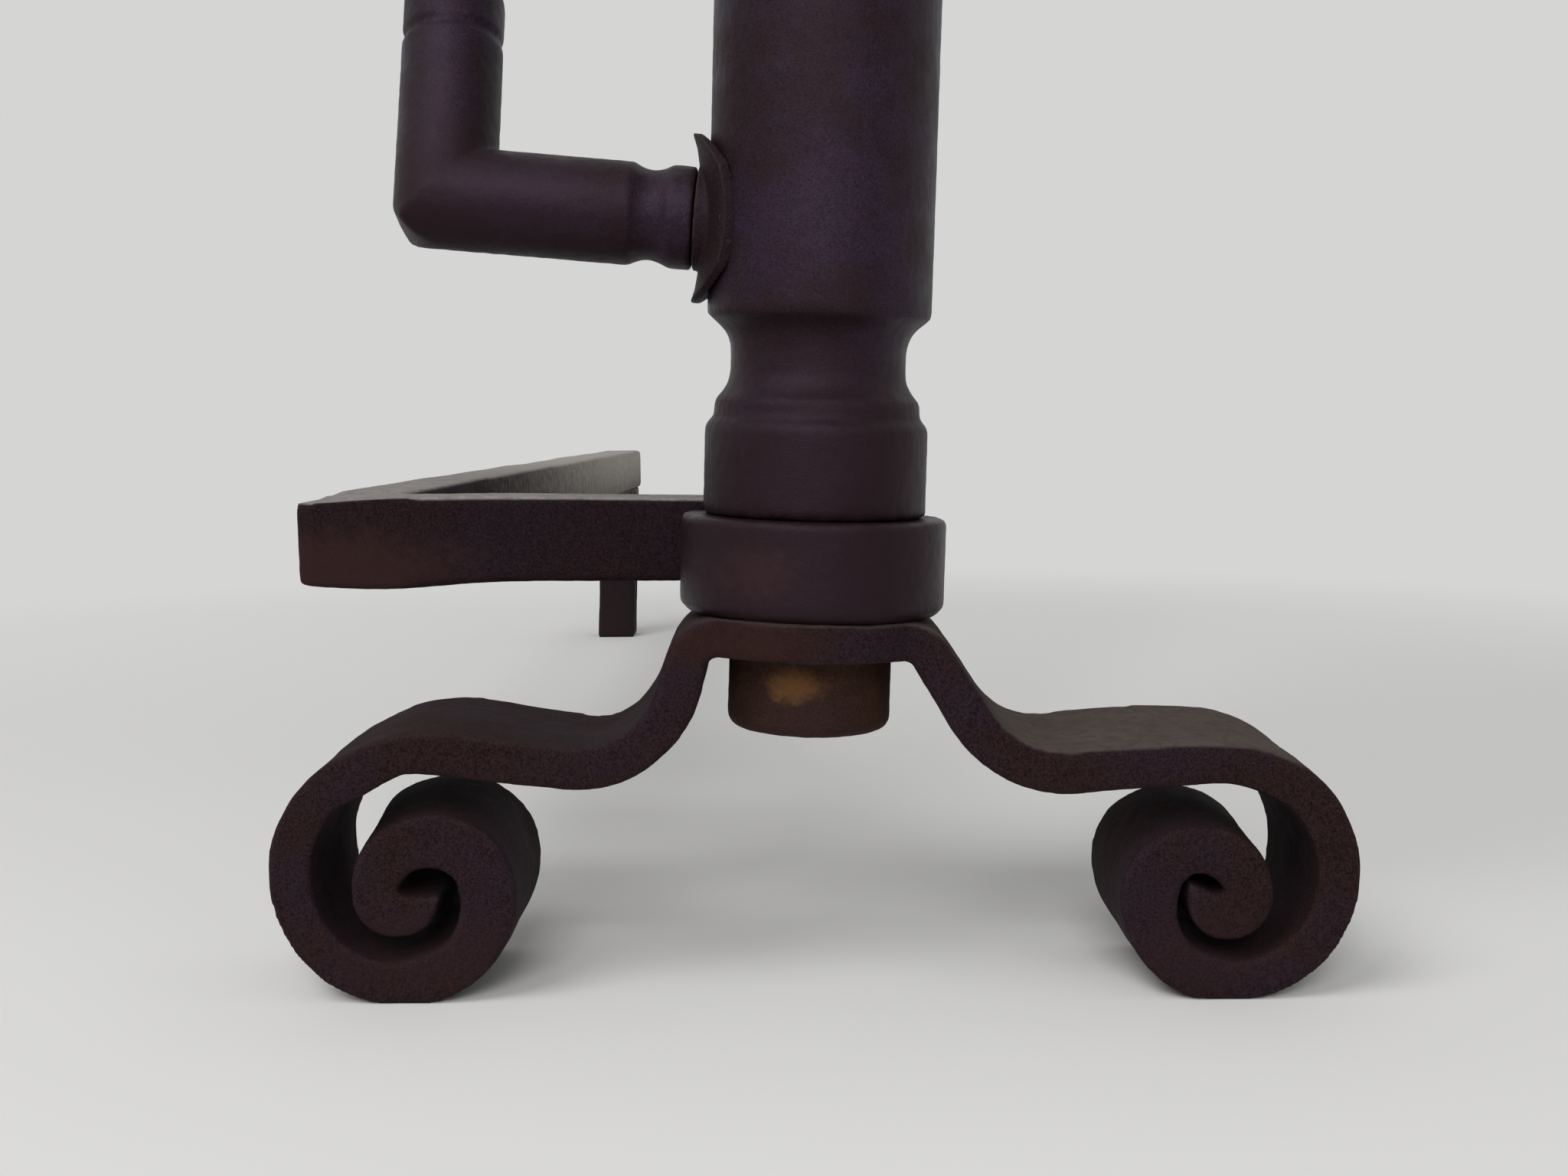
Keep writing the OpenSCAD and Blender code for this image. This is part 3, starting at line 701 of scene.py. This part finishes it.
# %% arm
worked_copy("bent_arm", "arm", "turned_iron", grid=0.7, rounds=4, dents=[FINE_PITS])


# %% [markdown]
# The washer was a flat ring, hammered round the post. It's taller than it is wide, so its front and rear
# lobes are drawn in. Each point turns about an upright line inside the post and keeps its distance from it,
# so the lobes follow the round instead of being squashed flat. The part under the arm keeps its place. The
# pin is hidden in the post but for its head, so it keeps its solid and only takes the finish.

# %% washer and pin
WRAP_X = middle("saddle_washer", 0) + (high("post", 0) - low("post", 0)) / 2
STILL_ANGLE = math.radians(27)          # to each side of the part that keeps its place
LOBE_CUT = 0.62                         # share of the angle beyond it that is taken away


def wrapped(at):
    off = Vector((at.x - WRAP_X, at.y - POST_Y))
    angle = math.atan2(off.y, -off.x)
    spare = max(0, abs(angle) - STILL_ANGLE)
    angle -= math.copysign(spare * LOBE_CUT, angle)
    return Vector((-off.length * math.cos(angle) - off.x, off.length * math.sin(angle) - off.y, 0))


worked_copy("bent_washer", "saddle_washer", "washer_iron", grid=0.35, rounds=2, dents=[], reshape=wrapped)

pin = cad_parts["arm_pin"]
pin.data.materials.clear()
pin.data.materials.append(FINISHES["washer_iron"])
print("arm pin: %d faces" % len(pin.data.polygons))


# %% [markdown]
# The floor fades into one plain pale grey. A sheet that curves up at the rear would need light of its own, so
# the floor is one large flat sheet. Near the andiron it's plainly lit and carries the soft shadows. Towards
# the
# rear its colour turns paler: that is painted light, which makes up for the lamps' light falling off there.
# Further out, what the camera sees turns into the grey, and the horizon disappears. Mirror rays and rays
# through glass see the same. All other rays get the real floor, so the fade doesn't act as a lamp.

# %% finish of the floor
PLAIN_GREY = (0.665, 0.665, 0.66, 1)
FLOOR_NEAR = (0.84, 0.835, 0.82, 1)
# painted light: the floor's colour paler towards the rear, where the lamps' light falls off
FLOOR_REAR_PAINTED_LIGHT = (0.98, 0.975, 0.96, 1)
FADE_FROM, FADE_TO = 0.34, 0.8          # metres from the point under the andiron's middle
PALER_FROM, PALER_TO = -0.1, 0.4        # metres behind the same point, over which the floor's colour turns paler: painted light


def seen_directly(tree):
    path = add(tree, "LightPath").outputs
    seen = path["Is Camera Ray"]
    for ray in ("Is Glossy Ray", "Is Transmission Ray"):
        seen = add(tree, "Math", {"operation": "MAXIMUM"}, _0=seen, _1=path[ray]).outputs[0]
    return seen


def pale_floor():
    material, tree = new_material("pale_floor")
    place = add(tree, "TexCoord").outputs["Object"]
    far = add(tree, "VectorMath", {"operation": "LENGTH"}, _0=place).outputs["Value"]
    behind = add(tree, "SeparateXYZ", _0=place).outputs["Y"]
    top = tint(tree, ramp(tree, behind, PALER_FROM, PALER_TO), FLOOR_NEAR, FLOOR_REAR_PAINTED_LIGHT)
    skin = add(tree, "BsdfPrincipled", Base_Color=top, Roughness=0.8)
    skin.inputs["Specular IOR Level"].default_value = 0.1
    haze = add(tree, "Emission", Color=PLAIN_GREY)
    fade = times(tree, ramp(tree, far, FADE_FROM, FADE_TO), seen_directly(tree))
    both = add(tree, "MixShader", _0=fade, _1=skin.outputs[0], _2=haze.outputs[0])
    add(tree, "OutputMaterial", Surface=both.outputs[0])
    return material


print("floor finish: fades from %.2f to %.2f m" % (FADE_FROM, FADE_TO))


# %% [markdown]
# The sheet itself is a single square face. It reaches far past the distance where the fade is complete, so
# its edge can't be seen. It's marked as part of the stage, so that it isn't taken for a piece of the andiron.

# %% floor
FLOOR_HALF = 8


def make_floor():
    bm = bmesh.new()
    bmesh.ops.create_grid(bm, x_segments=1, y_segments=1, size=FLOOR_HALF)
    mesh = bpy.data.meshes.new("floor")
    bm.to_mesh(mesh)
    bm.free()
    mesh.materials.append(pale_floor())
    floor = bpy.data.objects.new("floor", mesh)
    scene.collection.objects.link(floor)
    floor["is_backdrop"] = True


make_floor()
print("floor: %d m wide" % (2 * FLOOR_HALF))


# %% [markdown]
# The world gives even light from all sides, and shows the camera the same plain grey as the floor does. One
# light from a single side would leave half of the black iron lost in the dark, so even light comes first.

# %% world
FILL = 0.35


def make_world():
    world = bpy.data.worlds.new("studio")
    world.use_nodes = True
    scene.world = world
    tree = world.node_tree
    tree.nodes.clear()
    fill = add(tree, "Background", Color=(1, 1, 1, 1), Strength=FILL)
    grey = add(tree, "Background", Color=PLAIN_GREY)
    mix = add(tree, "MixShader", _0=seen_directly(tree), _1=fill.outputs[0], _2=grey.outputs[0])
    add(tree, "OutputWorld", Surface=mix.outputs[0])


make_world()
print("world: fill light of %.2f" % FILL)


# %% [markdown]
# Two large lamps shape that light: one high on the left, one in front. Both look at the post. Large lamps
# give soft shadows and the broad, dull sheen down the post, where small ones would give hard white streaks.
# Their power is set so that a colour comes out about as it's written.

# %% lamps
AIM_HEIGHT = 0.15


def make_lamp(name, place, size, watts):
    lamp = bpy.data.lights.new(name, "AREA")
    lamp.size = size
    lamp.energy = watts
    obj = bpy.data.objects.new(name, lamp)
    obj.location = place
    aim = Vector((0, POST_Y, AIM_HEIGHT)) - Vector(place)
    obj.rotation_euler = aim.to_track_quat("-Z", "Y").to_euler()
    scene.collection.objects.link(obj)
    print("%s: %d W, %.1f m wide" % (name, watts, size))


make_lamp("lamp_high_left", (-0.9, POST_Y - 0.9, 1.6), size=1.0, watts=14)
make_lamp("lamp_front", (-0.15, POST_Y - 1.8, 1.1), size=0.8, watts=20)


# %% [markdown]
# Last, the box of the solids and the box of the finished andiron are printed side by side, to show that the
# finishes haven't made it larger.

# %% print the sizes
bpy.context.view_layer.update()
for title, (least, most) in (("solids", cad_box), ("finished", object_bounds())):
    print("%s: %.1f x %.1f x %.1f mm" % (title, *[(b - a) / MM for a, b in zip(least, most)]))
